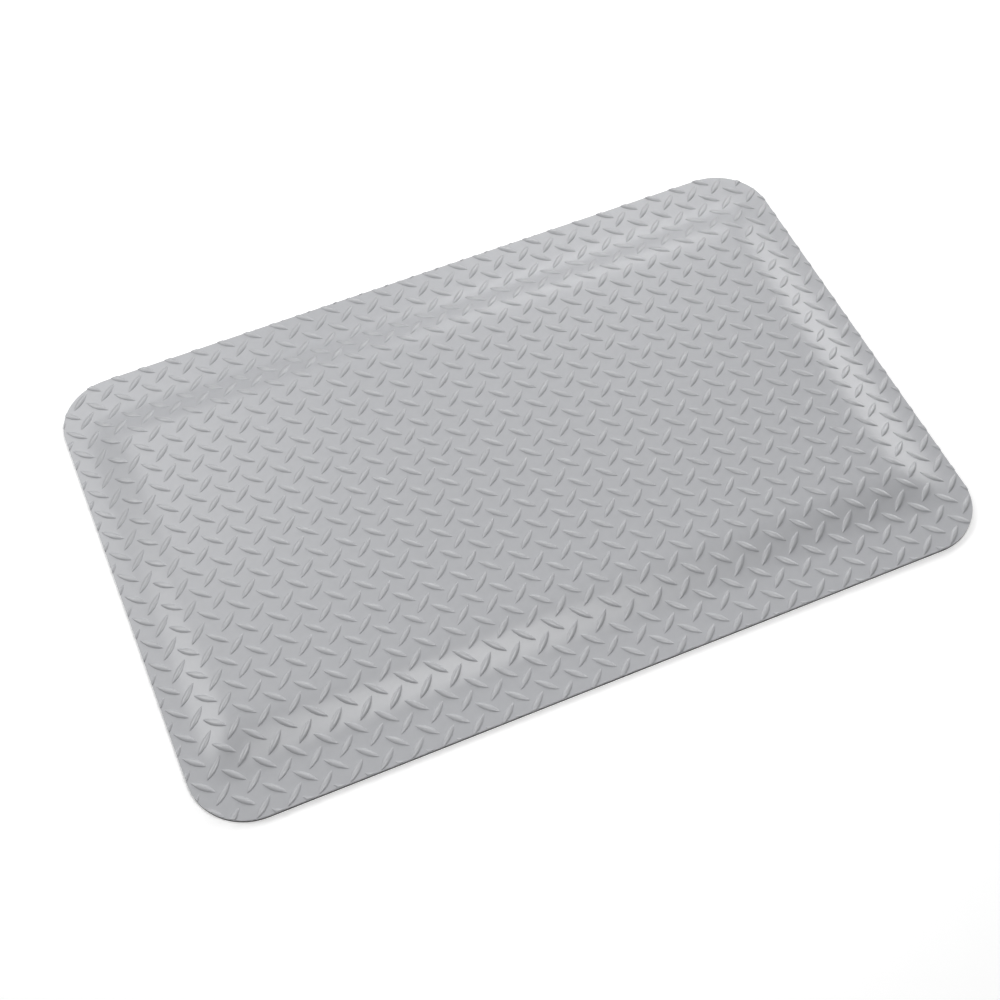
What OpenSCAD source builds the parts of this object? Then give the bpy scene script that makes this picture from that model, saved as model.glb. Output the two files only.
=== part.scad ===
// Anti-fatigue mat: an embossed deck-plate vinyl sheet laminated over a
// closed-cell sponge core with sloped borders, on a thin grip skin.
// Millimetres, +Z up, origin at the middle of the underside, long side along X.

/* [Outline] */
// Length of the mat, along X
mat_length = 914.4; // [700:0.1:1500]
// Width of the mat, along Y
mat_width = 609.6; // [450:0.1:1200]
// Radius of the four outer corners
corner_radius = 66; // [30:1:90]

/* [Layers] */
// Thickness of the grip skin under the core
skin_thickness = 1.2; // [0.8:0.1:2.5]
// Thickness of the sponge core in the raised middle
core_thickness = 15.2; // [8:0.1:25]
// Thickness of the sponge core where it thins out at the rim
core_rim_thickness = 1.2; // [0.8:0.1:3]
// Thickness of the cured laminating adhesive
film_thickness = 0.3; // [0.2:0.05:0.6]
// Thickness of the vinyl wear sheet, without its treads
sheet_thickness = 2.3; // [1.8:0.1:3.5]

/* [Border] */
// Flat rim outside the slope, on the two long sides
long_side_rim = 39; // [10:1:60]
// Flat rim outside the slope, on the two short sides
short_side_rim = 6; // [4:1:60]
// Width of the slope, on all four sides
slope_width = 76; // [50:1:100]

/* [Treads] */
// Spacing of the treads that lean one way, along X
tread_pitch_x = 33.3; // [30:0.1:60]
// Spacing of the treads that lean one way, along Y
tread_pitch_y = 30.5; // [30:0.1:60]
// Length of one tread
tread_length = 30; // [18:0.5:32]
// Width of one tread at its middle
tread_width = 8; // [4:0.5:10]
// Height of the crest of a tread above the sheet
tread_height = 1.4; // [0.6:0.1:2]
// Angle between a tread and the long side
tread_angle = 43.5; // [30:0.5:60]
// Place of the middle rising tread, along X
tread_start_x = 9; // [-15:0.5:15]
// Place of the middle rising tread, along Y
tread_start_y = 7; // [-15:0.5:15]

/* [Hidden] */

$fn = 96;
bend_facets = 360;          // facets round the large arcs of the slope
tread_facets = 120;         // facets round the whole ring that a tread is a piece of
overshoot = 2;              // how far a cutting shape passes what it cuts
tread_root = 0.15;          // how deep a tread's own solid goes into the sheet
tread_bite = 0.4;           // how deep its ends go below the face where the slope bends away
tread_overrun = 0.5;        // how far its ring runs on past each end

slope_rise = core_thickness - core_rim_thickness;
rim_thickness = skin_thickness + core_rim_thickness + film_thickness + sheet_thickness;
middle_thickness = rim_thickness + slope_rise;
clear_height = middle_thickness + tread_height + overshoot;
middle_x = mat_length / 2 - short_side_rim - slope_width;   // edges of the raised middle
middle_y = mat_width / 2 - long_side_rim - slope_width;
reach = slope_width + max(long_side_rim, short_side_rim) + overshoot;
corner_x = mat_length / 2 - corner_radius;                  // centres of the corners
corner_y = mat_width / 2 - corner_radius;

// The slope is two equal arcs that meet half way up, level at both ends
bend_radius = (pow(slope_width, 2) + pow(slope_rise, 2)) / (4 * slope_rise);

// A tread is a piece of a ring with a sharp crest, which dips into the sheet at its ends
tread_depth = tread_height + tread_root;
fold_depth = tread_height + tread_length / 2;
crest_radius = (pow(tread_length / 2, 2) + pow(tread_height, 2)) / (2 * tread_height);
tread_sweep = 2 * asin((tread_length / 2 + tread_overrun) / crest_radius);
end_run = tread_length / 2 * max(cos(tread_angle), sin(tread_angle));
end_root = arc_fall(end_run) + tread_bite;

// Fall of the sheet below the raised middle, and its angle, at a distance out
function arc_fall(along) = bend_radius - sqrt(pow(bend_radius, 2) - pow(along, 2));
function fall_at(out) =
    out <= 0 ? 0 :
    out < slope_width / 2 ? arc_fall(out) :
    out < slope_width ? slope_rise - arc_fall(slope_width - out) : slope_rise;
function tilt_at(out) =
    out <= 0 || out >= slope_width ? 0 :
    asin(min(out, slope_width - out) / bend_radius);

// How far out of the raised middle a place is, towards the short and the long side
function out_end(x) = abs(x) - middle_x;
function out_side(y) = abs(y) - middle_y;

// True where a tread centred here lies across a hip, the ridge between two slopes
function on_hip(x, y) =
    max(out_end(x), out_side(y)) > 0 &&
    max(out_end(x), out_side(y)) < slope_width &&
    abs(out_end(x) - out_side(y)) < tread_length / sqrt(2);

// True where a tread centred here reaches inside the outline
function in_outline(x, y) =
    norm([max(abs(x) - corner_x, 0), max(abs(y) - corner_y, 0)])
        < corner_radius + end_run;

module outline() {
    square([mat_length, 2 * corner_y], center = true);
    square([2 * corner_x, mat_width], center = true);
    for (side_x = [-1, 1], side_y = [-1, 1])
        translate([side_x * corner_x, side_y * corner_y]) circle(corner_radius);
}

// Section of one border: X runs out from the raised middle, Y is height
module border_section() {
    depth = clear_height;
    intersection() {
        translate([0, -depth]) square([slope_width / 2, depth + middle_thickness]);
        translate([0, middle_thickness - bend_radius]) circle(bend_radius, $fn = bend_facets);
    }
    difference() {
        translate([slope_width / 2, -depth])
            square([slope_width / 2, depth + rim_thickness + slope_rise / 2]);
        translate([slope_width, rim_thickness + bend_radius])
            circle(bend_radius, $fn = bend_facets);
    }
    translate([slope_width, -depth])
        square([reach - slope_width, depth + rim_thickness]);
}

// Section of one border between the face lowered by drop and a like one below it
module sheet_section(drop, thickness) {
    difference() {
        translate([0, -drop]) border_section();
        translate([0, -drop - thickness]) border_section();
    }
}

// Room of one border in plan, mitred at both ends, on the raised middle's edge
module border_room(half_edge) {
    translate([0, 0, -clear_height]) linear_extrude(2 * clear_height)
        polygon([[0, -half_edge], [reach, -half_edge - reach],
                 [reach, half_edge + reach], [0, half_edge]]);
}

// A section run along one border
module border(half_edge) {
    intersection() {
        rotate([90, 0, 0]) linear_extrude(2 * (half_edge + reach), center = true) children();
        border_room(half_edge);
    }
}

// A section run along all four borders
module borders() {
    for (turned = [0, 180]) {
        rotate(turned) translate([middle_x, 0, 0]) border(middle_y) children();
        rotate(turned + 90) translate([middle_y, 0, 0]) border(middle_x) children();
    }
}

// Everything under the face of the wear sheet, lowered by drop
module under_face(drop) {
    translate([0, 0, -drop]) {
        translate([-middle_x, -middle_y, -clear_height])
            cube([2 * middle_x, 2 * middle_y, clear_height + middle_thickness]);
        borders() border_section();
    }
}

// The room above the grip skin, inside the outline
module room_inside() {
    translate([0, 0, skin_thickness]) linear_extrude(clear_height) outline();
}

// A sheet that follows the face, lowered by drop
module sheet(drop, thickness) {
    intersection() {
        union() {
            translate([-middle_x, -middle_y, middle_thickness - drop - thickness])
                cube([2 * middle_x, 2 * middle_y, thickness]);
            borders() sheet_section(drop, thickness);
        }
        room_inside();
    }
}

module tread(depth) {
    foot = depth * tread_width / 2 / tread_height;
    translate([0, 0, tread_height - crest_radius])
        rotate([90, 0, 0])
            rotate(90 - tread_sweep / 2)
                rotate_extrude(angle = tread_sweep, $fn = tread_facets)
                    translate([crest_radius, 0])
                        polygon([[0, 0], [-depth, foot], [-depth, -foot]]);
}

// A tread cut off below, so that its ends stay within the sheet
module shallow_tread() {
    difference() {
        tread(tread_depth);
        translate([-tread_length, -tread_width, -end_root - tread_depth])
            cube([2 * tread_length, 2 * tread_width, tread_depth]);
    }
}

// Seats a tread on the slope of a short side, if on_end, or else of a long side
module seat(x, y, turn, on_end) {
    out = on_end ? out_end(x) : out_side(y);
    tilt = on_end ? [0, sign(x) * tilt_at(out), 0] : [-sign(y) * tilt_at(out), 0, 0];
    translate([x, y, middle_thickness - fall_at(out)]) rotate(tilt) rotate(turn) children();
}

// A tread that folds over a hip: what two deep ones share, each seated on its own slope
module folded_tread(x, y, turn) {
    difference() {
        intersection_for (on_end = [true, false])
            seat(x, y, turn, on_end) tread(fold_depth);
        under_face(tread_root);
    }
}

// Every tread that reaches inside the outline. They are joined while turned to lie along
// the axes, where none is in its neighbour's box, because that is much quicker to build
module treads() {
    columns = ceil(mat_length / 2 / tread_pitch_x) + 1;
    rows = ceil(mat_width / 2 / tread_pitch_y) + 1;
    rotate(tread_angle)
        for (column = [-columns : columns], row = [-rows : rows], half = [0, 0.5])
            let (x = tread_start_x + (column - half) * tread_pitch_x,
                 y = tread_start_y + (row - half) * tread_pitch_y,
                 turn = half == 0 ? tread_angle : -tread_angle)
                if (in_outline(x, y)) rotate(-tread_angle) {
                    if (on_hip(x, y)) folded_tread(x, y, turn);
                    else seat(x, y, turn, out_end(x) > out_side(y)) shallow_tread();
                }
}

module wear_sheet() {
    color("silver") {
        sheet(0, sheet_thickness);
        intersection() {
            treads();
            room_inside();
        }
    }
}

module bond_film() {
    color("khaki") sheet(sheet_thickness, film_thickness);
}

module sponge_core() {
    color("dimgray") intersection() {
        under_face(sheet_thickness + film_thickness);
        room_inside();
    }
}

module grip_skin() {
    color("darkslategray") linear_extrude(skin_thickness) outline();
}

wear_sheet();
bond_film();
sponge_core();
grip_skin();
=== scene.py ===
# Anti-fatigue mat: grey deck-plate vinyl over a sponge core, lying on a pale floor.
# Metres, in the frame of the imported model: +Z up, origin at the middle of the underside.
import math

import bpy
from mathutils import Matrix, Vector
from mathutils.bvhtree import BVHTree


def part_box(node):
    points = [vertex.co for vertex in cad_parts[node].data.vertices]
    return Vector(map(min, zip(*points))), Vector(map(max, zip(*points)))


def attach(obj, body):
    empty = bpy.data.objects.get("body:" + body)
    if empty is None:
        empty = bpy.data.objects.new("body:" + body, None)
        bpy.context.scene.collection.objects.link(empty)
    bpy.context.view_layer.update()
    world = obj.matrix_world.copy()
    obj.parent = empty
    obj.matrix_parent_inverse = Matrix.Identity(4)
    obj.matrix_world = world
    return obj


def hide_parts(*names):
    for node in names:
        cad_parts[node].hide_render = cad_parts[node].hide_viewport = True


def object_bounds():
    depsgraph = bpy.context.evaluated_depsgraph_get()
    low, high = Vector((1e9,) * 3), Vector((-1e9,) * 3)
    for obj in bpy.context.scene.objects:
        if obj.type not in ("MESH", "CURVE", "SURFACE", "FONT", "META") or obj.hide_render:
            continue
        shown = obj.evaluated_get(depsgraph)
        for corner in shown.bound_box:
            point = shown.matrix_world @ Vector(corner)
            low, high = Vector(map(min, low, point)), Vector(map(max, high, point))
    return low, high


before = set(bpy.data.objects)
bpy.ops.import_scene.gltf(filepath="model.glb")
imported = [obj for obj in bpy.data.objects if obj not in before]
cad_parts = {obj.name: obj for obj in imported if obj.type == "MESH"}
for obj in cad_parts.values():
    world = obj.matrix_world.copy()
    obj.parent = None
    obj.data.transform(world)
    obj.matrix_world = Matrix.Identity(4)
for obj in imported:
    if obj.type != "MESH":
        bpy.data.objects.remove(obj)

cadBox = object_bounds()
mm = 0.001

# The photograph's frame, and points in it. They are the only pixel coordinates here.
photoFrame = {"width": 1000, "height": 1000}

extremePoints = {"left": 67, "right": 972, "top": 180, "bottom": 820}

sidePoints = {            # places on the outline, away from its corners
    "nearSide": (604, 685),
    "farSide": (400, 281),
    "leftSide": (123, 604),
    "rightSide": (875, 357),
}

treadPoints = {           # middles of single treads
    "middleRising": (511.1, 446.9),
    "middleFalling": (502.9, 461.7),
    "nearLeftRising": (247.2, 755.6),
    "nearRightRising": (925.4, 493.6),
    "farLeftRising": (114.7, 412.0),
    "farRightRising": (700.9, 211.4),
    "nearMiddleFalling": (594.5, 639.6),
    "farMiddleFalling": (415.5, 302.7),
    "leftMiddleFalling": (166.3, 585.3),
    "rightMiddleFalling": (838.6, 342.0),
}

cameraView = {
    "azimuth": -20.30,    # degrees, 0 looks along +Y
    "elevation": 55.94,
    "roll": -3.19,
    "distance": 1.998,
    "aim": (-0.0266, -0.0431, 0.0),
    "lens": 63.58,
    "sensorWidth": 36.0,
}


def makeCamera(view):
    azimuth, elevation, roll = (math.radians(view[name]) for name in ("azimuth", "elevation", "roll"))
    back = Vector((math.sin(azimuth) * math.cos(elevation),
                   -math.cos(azimuth) * math.cos(elevation), math.sin(elevation)))
    level = Vector((0, 0, 1)).cross(back).normalized()
    right = Matrix.Rotation(roll, 3, back) @ level
    data = bpy.data.cameras.new("camera")
    data.lens, data.sensor_width, data.sensor_fit = view["lens"], view["sensorWidth"], "AUTO"
    made = bpy.data.objects.new("camera", data)
    axes = Matrix((right, back.cross(right), back)).transposed().to_4x4()
    made.matrix_world = Matrix.Translation(Vector(view["aim"]) + back * view["distance"]) @ axes
    bpy.context.scene.collection.objects.link(made)
    bpy.context.scene.camera = made
    bpy.context.view_layer.update()
    return made


# Where a point lies in the photograph
def pointToPhoto(point):
    longSide = max(photoFrame["width"], photoFrame["height"])
    seen = camera.matrix_world.inverted() @ point
    scale = longSide * camera.data.lens / camera.data.sensor_width / -seen.z
    return (photoFrame["width"] / 2 - camera.data.shift_x * longSide + seen.x * scale,
            photoFrame["height"] / 2 + camera.data.shift_y * longSide - seen.y * scale)


# Where the ray through a point of the photograph meets a surface, or else comes nearest to it
def placeOnSurface(surface, x, y):
    longSide = max(photoFrame["width"], photoFrame["height"])
    data = camera.data
    along = Vector((x - photoFrame["width"] / 2 + data.shift_x * longSide,
                    photoFrame["height"] / 2 - y + data.shift_y * longSide,
                    -longSide * data.lens / data.sensor_width))
    start = camera.matrix_world.translation
    along = (camera.matrix_world.to_3x3() @ along).normalized()
    place = surface.ray_cast(start, along)[0]
    if place is None:
        stride, strides = 2 * mm, 1500
        tries = [surface.find_nearest(start + along * stride * step) for step in range(strides)]
        place = min(tries, key=lambda found: found[3])[0]
    return place


camera = makeCamera(cameraView)
print("camera set")


# sRGB hex to a linear colour with alpha
def hexColor(text):
    values = [int(text[i:i + 2], 16) / 255 for i in (1, 3, 5)]
    return [v / 12.92 if v <= 0.04045 else ((v + 0.055) / 1.055) ** 2.4 for v in values] + [1.0]


# Adds a node with its settings, and fills its inputs with values or links
def addNode(tree, kind, inputs=None, **settings):
    node = tree.nodes.new(kind)
    for name, value in settings.items():
        setattr(node, name, value)
    for name, value in (inputs or {}).items():
        if isinstance(value, bpy.types.Node):
            value = next(socket for socket in value.outputs if socket.enabled)
        if isinstance(value, bpy.types.NodeSocket):
            tree.links.new(value, node.inputs[name])
        else:
            node.inputs[name].default_value = value
    return node


# A geometry tree with named inputs, and the sockets that carry them
def newGeometryTree(name, inputs):
    tree = bpy.data.node_groups.new(name, "GeometryNodeTree")
    tree.interface.new_socket("Geometry", in_out="OUTPUT", socket_type="NodeSocketGeometry")
    for label, kind in inputs.items():
        tree.interface.new_socket(label, in_out="INPUT", socket_type="NodeSocket" + kind)
    return tree, tree.nodes.new("NodeGroupInput").outputs


# Runs a geometry tree once, and returns what it makes as a plain mesh object
def runTree(tree, name, values):
    piece = bpy.data.objects.new(name, bpy.data.meshes.new(name))
    bpy.context.scene.collection.objects.link(piece)
    modifier = piece.modifiers.new("shape", "NODES")
    modifier.node_group = tree
    for socket in tree.interface.items_tree:
        if socket.in_out == "INPUT":
            modifier[socket.identifier] = values[socket.name]
    bpy.context.view_layer.update()
    seen = piece.evaluated_get(bpy.context.evaluated_depsgraph_get())
    made = bpy.data.meshes.new_from_object(seen)
    piece.modifiers.remove(modifier)
    piece.data = made
    made.name = name
    return piece


mat = {
    "length": cadBox[1].x - cadBox[0].x,
    "width": cadBox[1].y - cadBox[0].y,
    "cornerRadius": 66 * mm,
    "longSideRim": 39 * mm,
    "shortSideRim": 6 * mm,
    "slopeWidth": 76 * mm,
    "hipRounding": 40 * mm,      # how far the ridge between two slopes is blended
    "rimHeight": 5 * mm,
    "middleHeight": 19 * mm,
    "meshSpacing": 6 * mm,
    "creaseAngle": 50,           # degrees at which shading breaks
}


# One layer of the mat: a grid with rounded corners, which follows the face of the mat
# at one depth on top, and at another or at a floor height underneath
def makeLayerTree():
    tree, given = newGeometryTree("matLayer", {
        "Length": "Float", "Width": "Float", "Corner Radius": "Float", "Inset": "Float",
        "Long Side Rim": "Float", "Short Side Rim": "Float", "Slope Width": "Float",
        "Hip Rounding": "Float", "Rim Height": "Float", "Middle Height": "Float",
        "Top Depth": "Float", "Bottom Depth": "Float", "Floor Height": "Float",
        "Spacing": "Float", "Material": "Material"})
    halfLength = addNode(tree, "ShaderNodeMath", {0: given["Length"], 1: 0.5}, operation="MULTIPLY")
    halfWidth = addNode(tree, "ShaderNodeMath", {0: given["Width"], 1: 0.5}, operation="MULTIPLY")
    columns = addNode(tree, "ShaderNodeMath", {0: given["Length"], 1: given["Spacing"]}, operation="DIVIDE")
    rows = addNode(tree, "ShaderNodeMath", {0: given["Width"], 1: given["Spacing"]}, operation="DIVIDE")
    size = addNode(tree, "ShaderNodeCombineXYZ", {0: given["Length"], 1: given["Width"], 2: 1.0})
    grid = addNode(tree, "GeometryNodeMeshCube",
                   {"Size": size, "Vertices X": columns, "Vertices Y": rows, "Vertices Z": 2})

    # Past the corner centres, each square ring of the grid is drawn in to a round one
    place = addNode(tree, "GeometryNodeInputPosition")
    away = addNode(tree, "ShaderNodeVectorMath", {0: place}, operation="ABSOLUTE")
    side = addNode(tree, "ShaderNodeVectorMath", {0: place}, operation="SIGN")
    radius = given["Corner Radius"]
    cornerX = addNode(tree, "ShaderNodeMath", {0: halfLength, 1: radius}, operation="SUBTRACT")
    cornerY = addNode(tree, "ShaderNodeMath", {0: halfWidth, 1: radius}, operation="SUBTRACT")
    corner = addNode(tree, "ShaderNodeCombineXYZ", {0: cornerX, 1: cornerY, 2: 1.0})
    within = addNode(tree, "ShaderNodeVectorMath", {0: away, 1: corner}, operation="MINIMUM")
    past = addNode(tree, "ShaderNodeVectorMath", {0: away, 1: within}, operation="SUBTRACT")
    pastX = addNode(tree, "ShaderNodeSeparateXYZ", {0: past})
    square = addNode(tree, "ShaderNodeMath", {0: pastX.outputs[0], 1: pastX.outputs[1]},
                     operation="MAXIMUM")
    around = addNode(tree, "ShaderNodeVectorMath", {0: past}, operation="LENGTH")
    pull = addNode(tree, "ShaderNodeMath", {0: square, 1: around.outputs["Value"]}, operation="DIVIDE")
    kept = addNode(tree, "ShaderNodeMath", {0: radius, 1: given["Inset"]}, operation="SUBTRACT")
    shrink = addNode(tree, "ShaderNodeMath", {0: kept, 1: radius}, operation="DIVIDE")
    pulled = addNode(tree, "ShaderNodeMath", {0: pull, 1: shrink}, operation="MULTIPLY")
    rounded = addNode(tree, "ShaderNodeVectorMath", {0: past, "Scale": pulled}, operation="SCALE")
    drawn = addNode(tree, "ShaderNodeVectorMath", {0: within, 1: rounded}, operation="ADD")
    spot = addNode(tree, "ShaderNodeSeparateXYZ", {0: drawn})

    # How far out of the raised middle it is, and the height of the face there
    middleX = addNode(tree, "ShaderNodeMath", {0: halfLength, 1: given["Short Side Rim"]},
                      operation="SUBTRACT")
    middleX = addNode(tree, "ShaderNodeMath", {0: middleX, 1: given["Slope Width"]}, operation="SUBTRACT")
    middleY = addNode(tree, "ShaderNodeMath", {0: halfWidth, 1: given["Long Side Rim"]},
                      operation="SUBTRACT")
    middleY = addNode(tree, "ShaderNodeMath", {0: middleY, 1: given["Slope Width"]}, operation="SUBTRACT")
    outX = addNode(tree, "ShaderNodeMath", {0: spot.outputs[0], 1: middleX}, operation="SUBTRACT")
    outY = addNode(tree, "ShaderNodeMath", {0: spot.outputs[1], 1: middleY}, operation="SUBTRACT")
    out = addNode(tree, "ShaderNodeMath", {0: outX, 1: outY, 2: given["Hip Rounding"]},
                  operation="SMOOTH_MAX")
    face = addNode(tree, "ShaderNodeMapRange", {
        0: out, 1: 0.0, 2: given["Slope Width"],
        3: given["Middle Height"], 4: given["Rim Height"]}, interpolation_type="SMOOTHERSTEP")
    top = addNode(tree, "ShaderNodeMath", {0: face, 1: given["Top Depth"]}, operation="SUBTRACT")
    under = addNode(tree, "ShaderNodeMath", {0: face, 1: given["Bottom Depth"]}, operation="SUBTRACT")
    under = addNode(tree, "ShaderNodeMath", {0: under, 1: given["Floor Height"]}, operation="MAXIMUM")
    upper = addNode(tree, "ShaderNodeSeparateXYZ", {0: place})
    height = addNode(tree, "ShaderNodeMapRange", {
        0: upper.outputs[2], 1: -0.5, 2: 0.5, 3: under, 4: top})

    signed = addNode(tree, "ShaderNodeVectorMath", {0: drawn, 1: side}, operation="MULTIPLY")
    flat = addNode(tree, "ShaderNodeSeparateXYZ", {0: signed})
    moved = addNode(tree, "ShaderNodeCombineXYZ", {0: flat.outputs[0], 1: flat.outputs[1], 2: height})
    shaped = addNode(tree, "GeometryNodeSetPosition", {"Geometry": grid.outputs["Mesh"], "Position": moved})
    smooth = addNode(tree, "GeometryNodeSetShadeSmooth", {"Geometry": shaped})
    angle = addNode(tree, "GeometryNodeInputMeshEdgeAngle")
    sharp = addNode(tree, "FunctionNodeCompare", {
        0: angle.outputs[0], 1: math.radians(mat["creaseAngle"])},
        data_type="FLOAT", operation="GREATER_THAN")
    creased = addNode(tree, "GeometryNodeSetShadeSmooth",
                      {"Geometry": smooth, "Selection": sharp, "Shade Smooth": False}, domain="EDGE")
    real = addNode(tree, "GeometryNodeRealizeInstances", {"Geometry": creased})
    covered = addNode(tree, "GeometryNodeSetMaterial", {"Geometry": real, "Material": given["Material"]})
    addNode(tree, "NodeGroupOutput", {"Geometry": covered})
    return tree


tread = {
    "pitchX": 33.5 * mm,
    "pitchY": 30.5 * mm,
    "length": 30 * mm,
    "width": 8 * mm,
    "height": 1.6 * mm,
    "root": 0.35 * mm,           # how deep its foot is sunk in the sheet
    "angle": 43.5,               # degrees from the long side
    "shoulder": (0.72, 0.86),    # share of the half width, and of the height, where it rounds over
    "fullness": 0.75,            # under 1 keeps the crest high towards the ends
    "creaseAngle": 60,
    "rowBow": 13.7 * mm,         # the rows bow as the sheet was laid: out and back again
    "rowReturn": 10.6 * mm,
    "stations": 8,
    "cutInset": 0.05 * mm,       # how far inside the sheet's edge it is trimmed
}


# One tread: a lens with a rounded back, in a few dozen faces
def makeTreadShape(sizes):
    verts, rings = [], []
    steps = sizes["stations"] - 1
    across, up = sizes["shoulder"]
    for station in range(sizes["stations"]):
        along = -math.cos(math.pi * station / steps)
        full = 1 - along * along
        half = sizes["width"] / 2 * full
        crest = sizes["height"] * full ** sizes["fullness"]
        x = sizes["length"] / 2 * along
        if station in (0, steps):
            ring = [(x, 0, -sizes["root"])]
        else:
            ring = [(x, -half, -sizes["root"]), (x, -half * across, crest * up), (x, 0, crest),
                    (x, half * across, crest * up), (x, half, -sizes["root"])]
        rings.append([len(verts) + i for i in range(len(ring))])
        verts += ring
    faces = [[rings[0][0], rings[1][i + 1], rings[1][i]] for i in range(4)]
    faces += [[rings[-1][0], rings[-2][i], rings[-2][i + 1]] for i in range(4)]
    for a, b in zip(rings[1:-2], rings[2:-1]):
        faces += [[a[i], a[i + 1], b[i + 1], b[i]] for i in range(4)]
        faces.append([a[0], b[0], b[4], a[4]])
    faces += [[rings[0][0], rings[1][0], rings[1][4]], [rings[-1][0], rings[-2][4], rings[-2][0]]]
    mesh = bpy.data.meshes.new("treadShape")
    mesh.from_pydata(verts, [], faces)
    shape = bpy.data.objects.new("treadShape", mesh)
    bpy.context.scene.collection.objects.link(shape)
    return shape


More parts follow.
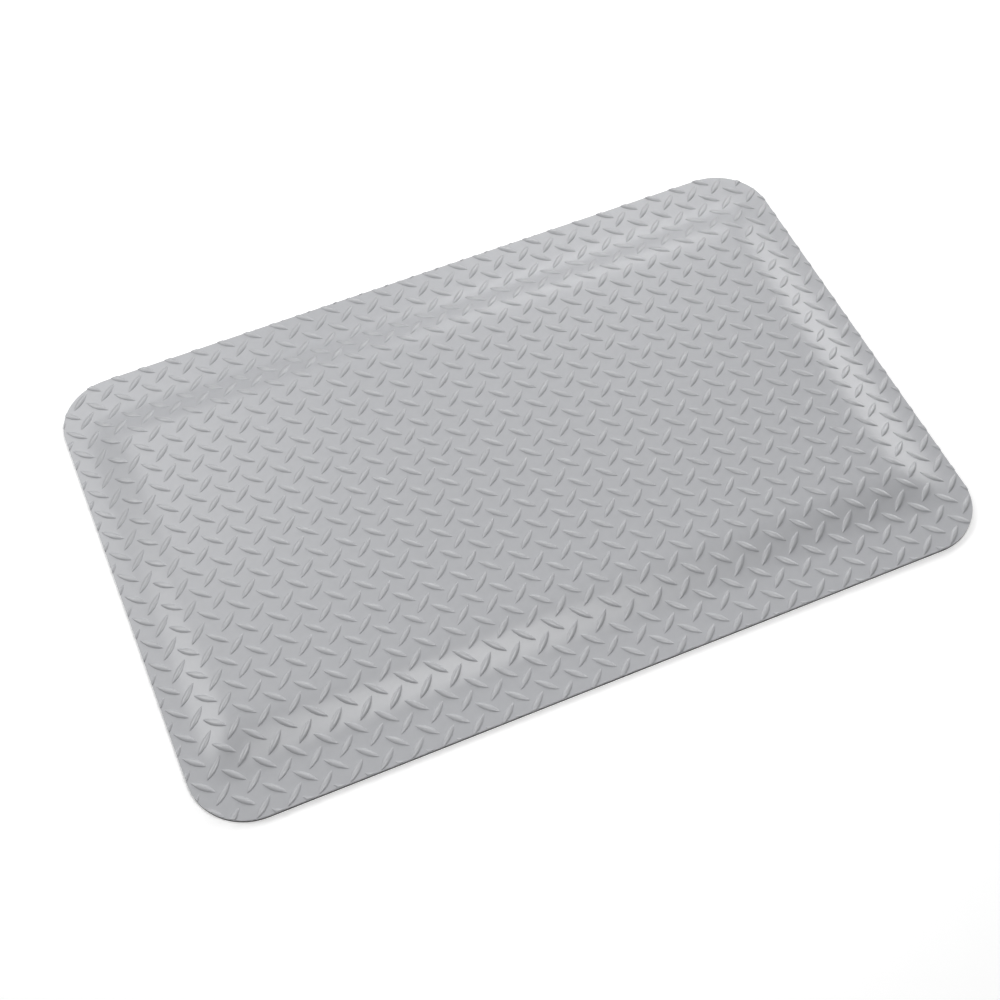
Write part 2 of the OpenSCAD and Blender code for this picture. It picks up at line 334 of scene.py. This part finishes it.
# One family of treads: a lattice of one shape, laid on the sheet and trimmed at its edge
def makeTreadTree():
    tree, given = newGeometryTree("treadFamily", {
        "Shape": "Object", "Sheet": "Object", "Trim": "Object", "Start X": "Float", "Start Y": "Float",
        "Pitch X": "Float", "Pitch Y": "Float", "Columns": "Int", "Rows": "Int", "Angle": "Float",
        "Row Bow": "Float", "Row Return": "Float", "Half Length": "Float", "Rim Height": "Float",
        "Tread Height": "Float", "Ceiling": "Float", "Material": "Material"})
    gapsX = addNode(tree, "ShaderNodeMath", {0: given["Columns"], 1: 1.0}, operation="SUBTRACT")
    gapsY = addNode(tree, "ShaderNodeMath", {0: given["Rows"], 1: 1.0}, operation="SUBTRACT")
    spanX = addNode(tree, "ShaderNodeMath", {0: gapsX, 1: given["Pitch X"]}, operation="MULTIPLY")
    spanY = addNode(tree, "ShaderNodeMath", {0: gapsY, 1: given["Pitch Y"]}, operation="MULTIPLY")
    lattice = addNode(tree, "GeometryNodeMeshGrid", {
        "Size X": spanX, "Size Y": spanY, "Vertices X": given["Columns"], "Vertices Y": given["Rows"]})
    place = addNode(tree, "GeometryNodeInputPosition")
    spot = addNode(tree, "ShaderNodeSeparateXYZ", {0: place})
    x = addNode(tree, "ShaderNodeMath", {0: spot.outputs[0], 1: given["Start X"]}, operation="ADD")
    y = addNode(tree, "ShaderNodeMath", {0: spot.outputs[1], 1: given["Start Y"]}, operation="ADD")
    share = addNode(tree, "ShaderNodeMath", {0: x, 1: given["Half Length"]}, operation="DIVIDE")
    square = addNode(tree, "ShaderNodeMath", {0: share, 1: 2.0}, operation="POWER")
    back = addNode(tree, "ShaderNodeMath", {0: square, 1: given["Row Return"]}, operation="MULTIPLY")
    slack = addNode(tree, "ShaderNodeMath", {0: given["Row Bow"], 1: back}, operation="SUBTRACT")
    bow = addNode(tree, "ShaderNodeMath", {0: square, 1: slack, 2: y}, operation="MULTIPLY_ADD")
    laid = addNode(tree, "ShaderNodeCombineXYZ", {0: x, 1: bow})
    moved = addNode(tree, "GeometryNodeSetPosition", {
        "Geometry": lattice.outputs["Mesh"], "Position": laid})
    shape = addNode(tree, "GeometryNodeObjectInfo", {"Object": given["Shape"]})
    turn = addNode(tree, "ShaderNodeCombineXYZ", {2: given["Angle"]})
    copies = addNode(tree, "GeometryNodeInstanceOnPoints", {
        "Points": moved, "Instance": shape.outputs["Geometry"], "Rotation": turn})
    real = addNode(tree, "GeometryNodeRealizeInstances", {"Geometry": copies})

    # Each point of a tread keeps its height, but above the sheet and along its slope
    sheet = addNode(tree, "GeometryNodeObjectInfo", {"Object": given["Sheet"]})
    at = addNode(tree, "GeometryNodeInputPosition")
    flat = addNode(tree, "ShaderNodeSeparateXYZ", {0: at})
    above = addNode(tree, "ShaderNodeCombineXYZ", {
        0: flat.outputs[0], 1: flat.outputs[1], 2: given["Ceiling"]})
    drop = addNode(tree, "GeometryNodeRaycast", {
        "Target Geometry": sheet.outputs["Geometry"], "Source Position": above,
        "Ray Direction": (0, 0, -1), "Ray Length": 1.0})
    lifted = addNode(tree, "ShaderNodeVectorMath",
                     {0: drop.outputs["Hit Normal"], "Scale": flat.outputs[2]}, operation="SCALE")
    seated = addNode(tree, "ShaderNodeVectorMath", {0: drop.outputs["Hit Position"], 1: lifted},
                     operation="ADD")
    rim = addNode(tree, "ShaderNodeMath", {0: flat.outputs[2], 1: given["Rim Height"]}, operation="ADD")
    beyond = addNode(tree, "ShaderNodeCombineXYZ", {0: flat.outputs[0], 1: flat.outputs[1], 2: rim})
    either = addNode(tree, "GeometryNodeSwitch", {
        "Switch": drop.outputs["Is Hit"], "False": beyond, "True": seated}, input_type="VECTOR")
    conformed = addNode(tree, "GeometryNodeSetPosition", {"Geometry": real, "Position": either})

    trim = addNode(tree, "GeometryNodeObjectInfo", {"Object": given["Trim"]})
    cut = addNode(tree, "GeometryNodeMeshBoolean", operation="INTERSECT", solver="MANIFOLD")
    tree.links.new(conformed.outputs[0], cut.inputs["Mesh 2"])
    tree.links.new(trim.outputs["Geometry"], cut.inputs["Mesh 2"])

    # How near each point is to the crest, for the wear
    rise = addNode(tree, "ShaderNodeSeparateXYZ", {0: addNode(tree, "ShaderNodeVectorMath", {
        0: at, 1: drop.outputs["Hit Position"]}, operation="SUBTRACT")})
    crest = addNode(tree, "ShaderNodeMath", {0: rise.outputs[2], 1: given["Tread Height"]},
                    operation="DIVIDE")
    marked = addNode(tree, "GeometryNodeStoreNamedAttribute", {
        "Geometry": cut.outputs["Mesh"], "Name": "crest", "Value": crest},
        data_type="FLOAT", domain="POINT")
    smooth = addNode(tree, "GeometryNodeSetShadeSmooth", {"Geometry": marked})
    angle = addNode(tree, "GeometryNodeInputMeshEdgeAngle")
    sharp = addNode(tree, "FunctionNodeCompare", {
        0: angle.outputs[0], 1: math.radians(tread["creaseAngle"])},
        data_type="FLOAT", operation="GREATER_THAN")
    creased = addNode(tree, "GeometryNodeSetShadeSmooth",
                      {"Geometry": smooth, "Selection": sharp, "Shade Smooth": False}, domain="EDGE")
    whole = addNode(tree, "GeometryNodeRealizeInstances", {"Geometry": creased})
    covered = addNode(tree, "GeometryNodeSetMaterial", {"Geometry": whole, "Material": given["Material"]})
    addNode(tree, "NodeGroupOutput", {"Geometry": covered})
    return tree


# Calendered plasticised PVC, embossed: dull sheen, fine soft grain, crests rubbed a little smoother
def makeGreyVinyl():
    look = {"grey": "#B3B4B7", "greyDark": "#ACADB0", "rubbed": "#B6B7B9", "mottleSize": 9 * mm,
            "grainSize": 1.6 * mm, "grainDepth": 0.04 * mm, "grainStrength": 0.6,
            "wornFrom": 0.6, "wornMost": 0.6, "roughness": (0.28, 0.38), "ior": 1.53}
    material = bpy.data.materials.new("embossedVinyl")
    material.use_nodes = True
    tree = material.node_tree
    tree.nodes.clear()
    where = addNode(tree, "ShaderNodeTexCoord").outputs["Object"]
    mottle = addNode(tree, "ShaderNodeTexNoise", {"Vector": where, "Scale": 1 / look["mottleSize"],
                                                  "Detail": 3.0, "Roughness": 0.6})
    base = addNode(tree, "ShaderNodeMix", {
        "Factor": mottle.outputs[0], 6: hexColor(look["greyDark"]), 7: hexColor(look["grey"])},
        data_type="RGBA")
    crest = addNode(tree, "ShaderNodeAttribute", attribute_name="crest")
    wear = addNode(tree, "ShaderNodeMapRange", {
        0: crest.outputs["Fac"], 1: look["wornFrom"], 2: 1.0, 3: 0.0, 4: look["wornMost"]})
    color = addNode(tree, "ShaderNodeMix", {0: wear, 6: base.outputs[2], 7: hexColor(look["rubbed"])},
                    data_type="RGBA")
    # real grain is about 0.3 mm; it is drawn coarser, so that it shows
    grain = addNode(tree, "ShaderNodeTexNoise", {
        "Vector": where, "Scale": 1 / look["grainSize"], "Detail": 2.0})
    rough = addNode(tree, "ShaderNodeMapRange", {0: grain.outputs[0], 3: look["roughness"][0],
                                                 4: look["roughness"][1]})
    bump = addNode(tree, "ShaderNodeBump", {
        "Height": grain.outputs[0], "Distance": look["grainDepth"], "Strength": look["grainStrength"]})
    shader = addNode(tree, "ShaderNodeBsdfPrincipled", {
        "Base Color": color.outputs[2], "Roughness": rough, "Normal": bump, "IOR": look["ior"]})
    addNode(tree, "ShaderNodeOutputMaterial", {"Surface": shader})
    return material


# Hot-laid laminating adhesive, cured clear and amber: only its thin edge shows
def makeCuredAdhesive():
    look = {"amber": "#B9A77C", "amberDark": "#9C8B62", "beadSize": 4 * mm, "beadDepth": 0.05 * mm,
            "roughness": 0.35, "ior": 1.5}
    material = bpy.data.materials.new("curedAdhesive")
    material.use_nodes = True
    tree = material.node_tree
    tree.nodes.clear()
    where = addNode(tree, "ShaderNodeTexCoord").outputs["Object"]
    beads = addNode(tree, "ShaderNodeTexNoise", {"Vector": where, "Scale": 1 / look["beadSize"]})
    color = addNode(tree, "ShaderNodeMix", {0: beads.outputs[0], 6: hexColor(look["amberDark"]),
                                            7: hexColor(look["amber"])}, data_type="RGBA")
    bump = addNode(tree, "ShaderNodeBump", {"Height": beads.outputs[0], "Distance": look["beadDepth"]})
    shader = addNode(tree, "ShaderNodeBsdfPrincipled", {
        "Base Color": color.outputs[2], "Roughness": look["roughness"], "IOR": look["ior"], "Normal": bump})
    addNode(tree, "ShaderNodeOutputMaterial", {"Surface": shader})
    return material


# Cross-linked closed-cell sponge, knife cut: matt charcoal, its cut cells make small pits, and the pits are
# painted darker as painted shade
def makeDarkSponge():
    look = {"charcoal": "#3A3937", "pitShade": "#242322", "cellSize": 0.9 * mm, "cellDepth": 0.25 * mm,
            "roughness": 0.85, "ior": 1.5}
    material = bpy.data.materials.new("closedCellSponge")
    material.use_nodes = True
    tree = material.node_tree
    tree.nodes.clear()
    where = addNode(tree, "ShaderNodeTexCoord").outputs["Object"]
    cells = addNode(tree, "ShaderNodeTexVoronoi", {"Vector": where, "Scale": 1 / look["cellSize"]},
                    feature="F1")
    # painted shade: the colour darkens towards each cell's middle, where the bump makes a pit
    color = addNode(tree, "ShaderNodeMix", {0: cells.outputs["Distance"], 6: hexColor(look["pitShade"]),
                                            7: hexColor(look["charcoal"])}, data_type="RGBA")
    bump = addNode(tree, "ShaderNodeBump", {
        "Height": cells.outputs["Distance"], "Distance": look["cellDepth"]})
    shader = addNode(tree, "ShaderNodeBsdfPrincipled", {
        "Base Color": color.outputs[2], "Roughness": look["roughness"], "IOR": look["ior"], "Normal": bump})
    addNode(tree, "ShaderNodeOutputMaterial", {"Surface": shader})
    return material


# Skin-moulded synthetic rubber: soft black, with the fine pebble of its mould
def makeGripRubber():
    look = {"black": "#2E2D2C", "blackWorn": "#3B3A38", "pebbleSize": 2.2 * mm, "pebbleDepth": 0.3 * mm,
            "roughness": 0.7, "ior": 1.52}
    material = bpy.data.materials.new("pebbledRubber")
    material.use_nodes = True
    tree = material.node_tree
    tree.nodes.clear()
    where = addNode(tree, "ShaderNodeTexCoord").outputs["Object"]
    pebbles = addNode(tree, "ShaderNodeTexVoronoi", {"Vector": where, "Scale": 1 / look["pebbleSize"]},
                      feature="SMOOTH_F1")
    color = addNode(tree, "ShaderNodeMix", {0: pebbles.outputs["Distance"], 6: hexColor(look["blackWorn"]),
                                            7: hexColor(look["black"])}, data_type="RGBA")
    bump = addNode(tree, "ShaderNodeBump", {"Height": pebbles.outputs["Distance"],
                                            "Distance": look["pebbleDepth"]}, invert=True)
    shader = addNode(tree, "ShaderNodeBsdfPrincipled", {
        "Base Color": color.outputs[2], "Roughness": look["roughness"], "IOR": look["ior"], "Normal": bump})
    addNode(tree, "ShaderNodeOutputMaterial", {"Surface": shader})
    return material


vinyl = makeGreyVinyl()
print("materials made")

layerTree = makeLayerTree()
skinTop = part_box("grip_skin")[1].z
sheetDepth = mat["middleHeight"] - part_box("bond_film")[1].z
filmDepth = mat["middleHeight"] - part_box("sponge_core")[1].z
layerSizes = {
    "Length": mat["length"], "Width": mat["width"], "Corner Radius": mat["cornerRadius"], "Inset": 0.0,
    "Long Side Rim": mat["longSideRim"], "Short Side Rim": mat["shortSideRim"],
    "Slope Width": mat["slopeWidth"], "Hip Rounding": mat["hipRounding"],
    "Rim Height": mat["rimHeight"], "Middle Height": mat["middleHeight"],
    "Top Depth": 0.0, "Bottom Depth": sheetDepth, "Floor Height": skinTop,
    "Spacing": mat["meshSpacing"], "Material": vinyl}
vinylSheet = runTree(layerTree, "vinylSheet", layerSizes)
print("vinyl sheet", len(vinylSheet.data.polygons), "faces")

adhesiveFilm = runTree(layerTree, "adhesiveFilm", {
    **layerSizes, "Inset": 0.3 * mm, "Top Depth": sheetDepth, "Bottom Depth": filmDepth,
    "Material": makeCuredAdhesive()})
spongeCore = runTree(layerTree, "spongeCore", {
    **layerSizes, "Inset": 0.5 * mm, "Top Depth": filmDepth, "Bottom Depth": 1.0,
    "Material": makeDarkSponge()})
gripSkin = runTree(layerTree, "gripSkin", {
    **layerSizes, "Inset": 0.2 * mm, "Rim Height": skinTop, "Middle Height": skinTop,
    "Bottom Depth": skinTop, "Floor Height": 0.0, "Material": makeGripRubber()})
print("core and skins made")

trimShape = runTree(layerTree, "trimShape", {
    **layerSizes, "Inset": tread["cutInset"], "Rim Height": 2 * mat["middleHeight"],
    "Middle Height": 2 * mat["middleHeight"], "Bottom Depth": 1.0, "Floor Height": 0.0})
treadShape = makeTreadShape(tread)
treadTree = makeTreadTree()
onSheet = BVHTree.FromObject(vinylSheet, bpy.context.evaluated_depsgraph_get())
families = {}
for name, point, angle in (("risingTreads", "middleRising", tread["angle"]),
                           ("fallingTreads", "middleFalling", -tread["angle"])):
    start = placeOnSurface(onSheet, *treadPoints[point])
    families[name] = runTree(treadTree, name, {
        "Shape": treadShape, "Sheet": vinylSheet, "Trim": trimShape, "Start X": start.x, "Start Y": start.y,
        "Pitch X": tread["pitchX"], "Pitch Y": tread["pitchY"],
        "Columns": 2 * math.ceil(mat["length"] / 2 / tread["pitchX"]) + 3,
        "Rows": 2 * math.ceil(mat["width"] / 2 / tread["pitchY"]) + 3,
        "Angle": math.radians(angle), "Row Bow": tread["rowBow"], "Row Return": tread["rowReturn"],
        "Half Length": mat["length"] / 2, "Rim Height": mat["rimHeight"], "Tread Height": tread["height"],
        "Ceiling": 4 * mat["middleHeight"], "Material": vinyl})
    print(name, "start", [round(v / mm, 2) for v in start], len(families[name].data.polygons), "faces")
for helper in (trimShape, treadShape):
    bpy.data.objects.remove(helper)

for piece, node, slot in ((vinylSheet, "wear_sheet", "grey_vinyl"),
                          (families["risingTreads"], "wear_sheet", "grey_vinyl"),
                          (families["fallingTreads"], "wear_sheet", "grey_vinyl"),
                          (adhesiveFilm, "bond_film", "cured_adhesive"),
                          (spongeCore, "sponge_core", "dark_sponge"),
                          (gripSkin, "grip_skin", "grip_rubber")):
    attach(piece, "root")
    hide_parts(node)
print("pieces on their body")

floorLook = {
    "size": 12.0,
    "drop": 0.2 * mm,            # how far it lies under the mat
    "white": "#F4F4F4",
    "ownLight": 0.24,            # what it adds by itself, near the mat and far off
    "farLight": 1.0,
    "fade": (0.7, 2.2),          # where the one passes into the other, in metres
}


def makeFloor(look):
    half = look["size"] / 2
    mesh = bpy.data.meshes.new("floor")
    corners = [(-half, -half, 0), (half, -half, 0), (half, half, 0), (-half, half, 0)]
    mesh.from_pydata(corners, [], [(0, 1, 2, 3)])
    made = bpy.data.objects.new("floor", mesh)
    made.location.z = -look["drop"]
    bpy.context.scene.collection.objects.link(made)
    material = bpy.data.materials.new("paleFloor")
    material.use_nodes = True
    tree = material.node_tree
    tree.nodes.clear()
    matt = addNode(tree, "ShaderNodeBsdfDiffuse", {"Color": hexColor(look["white"])})
    ray = addNode(tree, "ShaderNodeLightPath")
    direct = ray.outputs["Is Camera Ray"]
    seen = addNode(tree, "ShaderNodeMath", {0: direct, 1: ray.outputs["Is Glossy Ray"]},
                   operation="MAXIMUM")
    seen = addNode(tree, "ShaderNodeMath", {0: seen, 1: ray.outputs["Is Transmission Ray"]},
                   operation="MAXIMUM")
    # Away from the lamps the floor stays pale to the camera
    where = addNode(tree, "ShaderNodeTexCoord").outputs["Object"]
    away = addNode(tree, "ShaderNodeVectorMath", {0: where}, operation="LENGTH")
    fade = addNode(tree, "ShaderNodeMapRange", {
        0: away.outputs["Value"], 1: look["fade"][0], 2: look["fade"][1],
        3: 0.0, 4: look["farLight"] - look["ownLight"]}, interpolation_type="SMOOTHSTEP")
    far = addNode(tree, "ShaderNodeMath", {0: direct, 1: fade}, operation="MULTIPLY")
    strength = addNode(tree, "ShaderNodeMath", {0: seen, 1: look["ownLight"], 2: far},
                       operation="MULTIPLY_ADD")
    glow = addNode(tree, "ShaderNodeEmission", {"Color": hexColor("#FFFFFF"), "Strength": strength})
    both = addNode(tree, "ShaderNodeAddShader", {0: matt, 1: glow})
    addNode(tree, "ShaderNodeOutputMaterial", {"Surface": both})
    mesh.materials.append(material)
    return made


makeFloor(floorLook)

studio = {
    "world": ("#FFFFFF", 0.02),
    "lamps": {                   # name: (azimuth, elevation, distance, width, watts)
        "right": (112, 21, 2.0, 1.0, 13.2),
        "farRight": (155, 32, 2.0, 0.9, 10.2),
        "far": (200, 45, 2.0, 0.9, 8),
        "farLeft": (246, 38, 2.0, 0.8, 13),
        "overhead": (4, 69, 1.6, 0.7, 12.9),
    },
}


def lightStudio(setup):
    world = bpy.data.worlds.new("studio")
    world.use_nodes = True
    tree = world.node_tree
    tree.nodes.clear()
    color, level = setup["world"]
    ray = addNode(tree, "ShaderNodeLightPath")
    fill = addNode(tree, "ShaderNodeBackground", {"Color": hexColor(color), "Strength": level})
    white = addNode(tree, "ShaderNodeBackground", {"Color": hexColor("#FFFFFF"), "Strength": 1.0})
    mixed = addNode(tree, "ShaderNodeMixShader", {0: ray.outputs["Is Camera Ray"], 1: fill, 2: white})
    addNode(tree, "ShaderNodeOutputWorld", {"Surface": mixed})
    bpy.context.scene.world = world
    for name, (azimuth, elevation, distance, width, watts) in setup["lamps"].items():
        turn, lift = math.radians(azimuth), math.radians(elevation)
        data = bpy.data.lights.new(name, "AREA")
        data.shape, data.size, data.energy = "SQUARE", width, watts
        lamp = bpy.data.objects.new(name, data)
        away = Vector((math.sin(turn) * math.cos(lift), -math.cos(turn) * math.cos(lift), math.sin(lift)))
        lamp.location = away * distance
        lamp.rotation_euler = away.to_track_quat("Z", "Y").to_euler()
        bpy.context.scene.collection.objects.link(lamp)


lightStudio(studio)
bpy.context.scene.view_settings.view_transform = "Standard"
print("studio lit")


# How close to an image point a vertex counts: on the outline in pixels, on a tread in metres
nearby = {"outline": 4, "tread": 0.55 * tread["length"]}


# How far each thing shows from its point in the photograph
def measurePoints():
    bpy.context.view_layer.update()
    reader = bpy.context.evaluated_depsgraph_get()
    found = {}
    outline = [pointToPhoto(v.co) for v in vinylSheet.evaluated_get(reader).data.vertices]
    xs, ys = [p[0] for p in outline], [p[1] for p in outline]
    extremes = {"left": min(xs), "right": max(xs), "top": min(ys), "bottom": max(ys)}
    for name, value in extremePoints.items():
        found[name] = round(extremes[name] - value, 2)
    for name, (x, y) in sidePoints.items():
        if name in ("leftSide", "rightSide"):
            near = [p[0] - x for p in outline if abs(p[1] - y) < nearby["outline"]]
        else:
            near = [p[1] - y for p in outline if abs(p[0] - x) < nearby["outline"]]
        found[name] = round(min(near) if name in ("leftSide", "farSide") else max(near), 2)
    for name, (x, y) in treadPoints.items():
        piece = families["risingTreads" if "Rising" in name else "fallingTreads"]
        place = placeOnSurface(onSheet, x, y)
        close = [pointToPhoto(v.co) for v in piece.data.vertices if (v.co - place).length < nearby["tread"]]
        if close:
            found[name] = [round((min(p[i] for p in close) + max(p[i] for p in close)) / 2 - (x, y)[i], 2)
                           for i in (0, 1)]
    return found


measurePoints()
